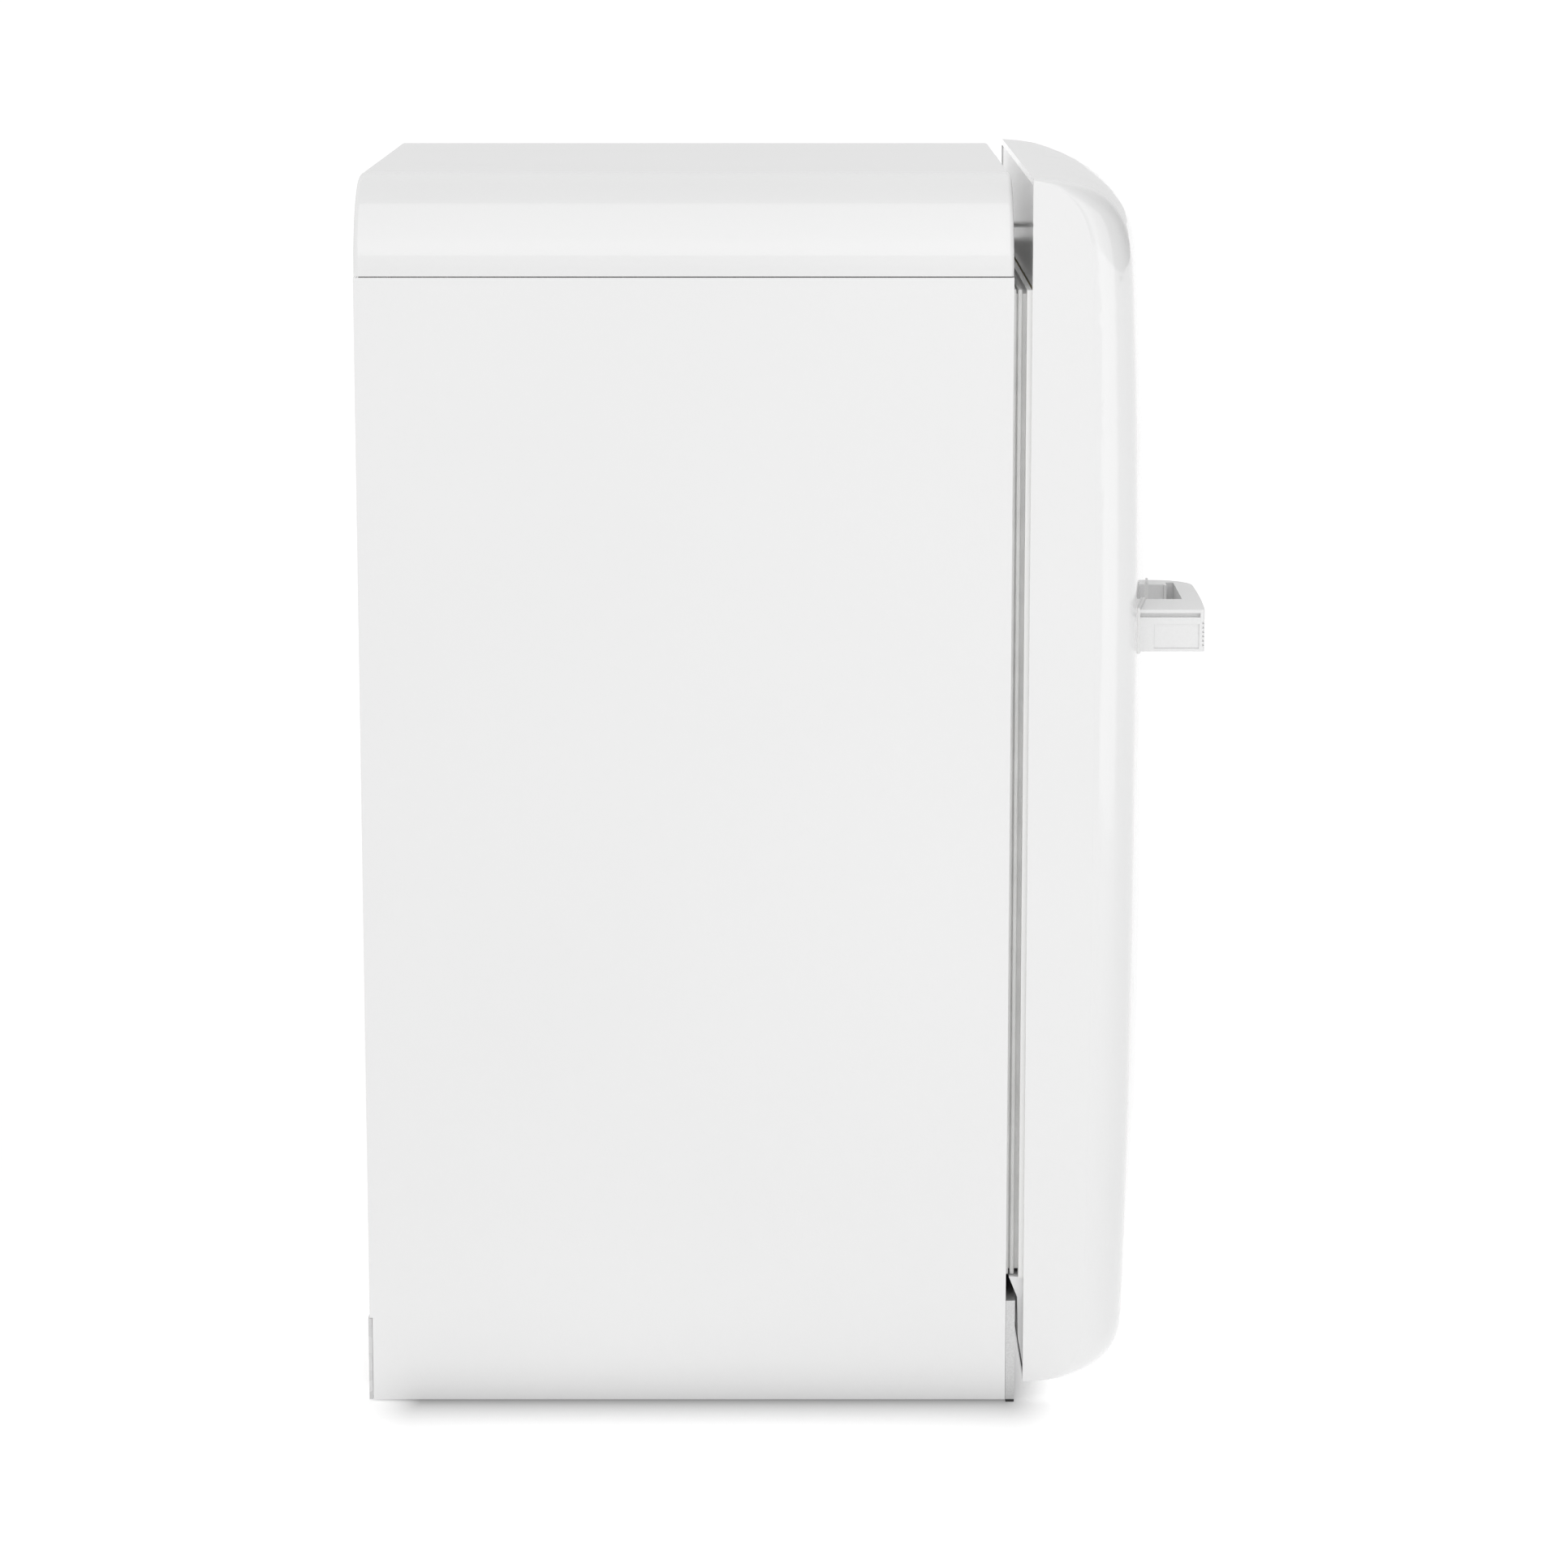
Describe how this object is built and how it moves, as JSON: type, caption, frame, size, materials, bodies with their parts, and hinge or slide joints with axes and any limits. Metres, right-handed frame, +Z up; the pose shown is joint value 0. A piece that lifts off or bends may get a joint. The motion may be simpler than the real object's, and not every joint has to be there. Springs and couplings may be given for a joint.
{
  "type": "compact refrigerator",
  "caption": "Under-counter compact refrigerator in a rounded 1950s style: white enamelled cabinet, crowned door with a short horizontal grip, glass shelves, drawer and door racks.",
  "frame": {"origin": "centre of the footprint on the floor: the middle of the bounding box in X and Y, at the bottom of the feet", "axes": "+Z up, -Y out through the door at the front, +X towards the hinge side, which is on the right when facing the door"},
  "size_m": [0.543, 0.66, 0.97],
  "materials": {
    "white_enamel": "gloss",
    "galvanised": "satin",
    "zinc_steel": "satin",
    "silver_paint": "satin",
    "black_paint": "satin",
    "liner_white": "satin",
    "moulding_white": "satin",
    "handle_satin": "satin",
    "badge_metal": "polished",
    "grey_plastic": "matt",
    "black_plastic": "matt",
    "bush_plastic": "matt",
    "seal_white": "matt",
    "seal_black": "matt",
    "foam": "matt",
    "shelf_glass": "polished",
    "clear_plastic": "polished",
    "lamp_lens": "satin",
    "board_green": "satin",
    "cold_plate": "satin",
    "copper": "satin"
  },
  "bodies": {
    "cabinet": {"base_frame": "galvanised", "bottom_panel": "galvanised", "cabinet_foam": "foam", "compartment_bulkhead": "galvanised", "compressor": "black_paint", "compressor_grommets": "seal_black", "compressor_plate": "galvanised", "condenser_brackets": "galvanised", "condenser_tube": "black_paint", "condenser_wires": "black_paint", "control_housing": "moulding_white", "crisper_cover_glass": "shelf_glass", "door_switch_body": "moulding_white", "drain_channel_and_tube": "grey_plastic", "drain_tray": "black_plastic", "evaporator_plate": "cold_plate", "filter_drier": "copper", "front_rails": "white_enamel", "hinge_pins": "zinc_steel", "inner_liner": "liner_white", "lamp_board": "board_green", "lamp_lens": "lamp_lens", "lower_hinge_bracket": "zinc_steel", "mains_inlet": "zinc_steel", "plinth": "silver_paint", "plinth_seal": "seal_black", "rear_panel": "galvanised", "refrigerant_lines": "copper", "screws_and_bolts": "zinc_steel", "shelf_glass": "shelf_glass", "shelf_trims": "moulding_white", "side_panel_left": "white_enamel", "side_panel_right": "white_enamel", "start_relay_box": "black_plastic", "thermostat_body": "moulding_white", "top_cover": "white_enamel", "top_deck": "galvanised", "upper_hinge_bracket": "zinc_steel"},
    "door": {"door_shell": "white_enamel", "door_end_caps": "grey_plastic", "door_inner_panel": "liner_white", "door_foam": "foam", "hinge_bushes": "bush_plastic", "door_gasket": "seal_white", "handle_bar": "handle_satin", "handle_pads": "moulding_white", "handle_end_cap": "handle_satin", "badge_plate": "badge_metal", "door_rack_lower": "clear_plastic", "door_rack_middle": "clear_plastic", "door_rack_upper": "clear_plastic"},
    "thermostat_dial": {"thermostat_dial": "moulding_white"},
    "crisper": {"crisper_drawer": "clear_plastic"},
    "switch_plunger": {"door_switch_plunger": "moulding_white"},
    "dairy_lid": {"dairy_lid": "clear_plastic"},
    "bottle_retainer": {"bottle_retainer": "clear_plastic"},
    "foot_front_left": {"foot_front_left": "black_plastic"},
    "foot_front_right": {"foot_front_right": "black_plastic"},
    "foot_rear_left": {"foot_rear_left": "black_plastic"},
    "foot_rear_right": {"foot_rear_right": "black_plastic"}
  },
  "joints": [
    {"name": "door_hinge", "type": "hinge", "parent": "cabinet", "child": "door", "pos_m": [0.252, -0.2248, 0.49], "axis": [0, 0, 1], "range_deg": [0, 110]},
    {"name": "crisper_slide", "type": "slide", "parent": "cabinet", "child": "crisper", "axis": [0, -1, 0], "range_m": [0, 0.154]},
    {"name": "switch_plunger_slide", "type": "slide", "parent": "cabinet", "child": "switch_plunger", "axis": [0, -1, 0], "range_m": [0, 0.005]},
    {"name": "thermostat_turn", "type": "hinge", "parent": "cabinet", "child": "thermostat_dial", "pos_m": [0.068, -0.06, 0.851], "axis": [0, -1, 0], "range_deg": [0, 270]},
    {"name": "dairy_lid_hinge", "type": "hinge", "parent": "door", "child": "dairy_lid", "pos_m": [0, -0.158, 0.801], "axis": [1, 0, 0], "range_deg": [0, 85]},
    {"name": "bottle_retainer_slide", "type": "slide", "parent": "door", "child": "bottle_retainer", "axis": [1, 0, 0], "range_m": [-0.11, 0.11]},
    {"name": "foot_front_left_turn", "type": "hinge", "parent": "cabinet", "child": "foot_front_left", "pos_m": [-0.244, -0.146, 0.02], "axis": [0, 0, 1], "continuous": true},
    {"name": "foot_front_right_turn", "type": "hinge", "parent": "cabinet", "child": "foot_front_right", "pos_m": [0.244, -0.146, 0.02], "axis": [0, 0, 1], "continuous": true},
    {"name": "foot_rear_left_turn", "type": "hinge", "parent": "cabinet", "child": "foot_rear_left", "pos_m": [-0.244, 0.296, 0.02], "axis": [0, 0, 1], "continuous": true},
    {"name": "foot_rear_right_turn", "type": "hinge", "parent": "cabinet", "child": "foot_rear_right", "pos_m": [0.244, 0.296, 0.02], "axis": [0, 0, 1], "continuous": true}
  ],
  "couplings": [
    {"joint": "crisper_slide", "follows": "door_hinge", "m_per_rad": 0.08},
    {"joint": "switch_plunger_slide", "follows": "door_hinge", "m_per_rad": 0.0026}
  ]
}
